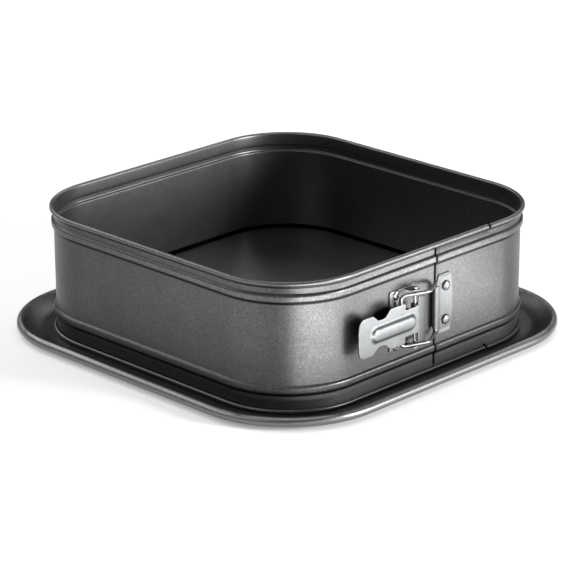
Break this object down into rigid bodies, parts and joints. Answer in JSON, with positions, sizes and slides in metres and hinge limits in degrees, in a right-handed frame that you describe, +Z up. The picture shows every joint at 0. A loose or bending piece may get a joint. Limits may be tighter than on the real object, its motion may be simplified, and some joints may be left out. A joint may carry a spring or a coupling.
{
  "type": "springform pan",
  "caption": "Square springform pan: wide-rimmed raised base plate and a sheet band closed by an over-centre lever latch with a wire bail.",
  "frame": {"origin": "centre of the bounding box's bottom face, on the surface that the pan stands on", "axes": "+Z up, latch on the -Y side, seam slightly towards +X"},
  "size_m": [0.2798, 0.2798, 0.0822],
  "materials": {
    "coated_steel": "satin non-stick coating with fine metallic fleck",
    "plated_plate": "satin plated",
    "plated_wire": "bright plated"
  },
  "bodies": {
    "base": {"base_plate": "coated_steel"},
    "band": {"band_lever_end": "coated_steel", "bracket": "plated_plate", "bracket_rivet_upper": "plated_wire", "bracket_rivet_lower": "plated_wire", "lever_pin": "plated_wire"},
    "band_free_end": {"band_hook_end": "coated_steel", "hook_plate": "plated_plate", "hook_rivet_upper": "plated_wire", "hook_rivet_lower": "plated_wire"},
    "lever_arm": {"lever": "plated_plate"},
    "bail_wire": {"bail": "plated_wire"}
  },
  "joints": [
    {"name": "band_lift", "type": "slide", "parent": "base", "child": "band", "axis": [0, 0, 1], "range_m": [0, 0.12]},
    {"name": "lever_swing", "type": "hinge", "parent": "band", "child": "lever_arm", "pos_m": [-0.017, -0.1224, 0.0421], "axis": [0, 0, 1], "range_deg": [0, 90]},
    {"name": "band_open", "type": "hinge", "parent": "band", "child": "band_free_end", "pos_m": [0.1195, 0.04, 0.0421], "axis": [0, 0, 1], "range_deg": [0, 2.3]},
    {"name": "bail_swing", "type": "hinge", "parent": "band_free_end", "child": "bail_wire", "pos_m": [0.0046, -0.11955, 0.0421], "axis": [0, 0, 1], "range_deg": [0, 17]}
  ],
  "couplings": [
    {"joint": "band_open", "follows": "lever_swing", "ratio": 0.0248},
    {"joint": "bail_swing", "follows": "lever_swing", "ratio": 0.162}
  ]
}
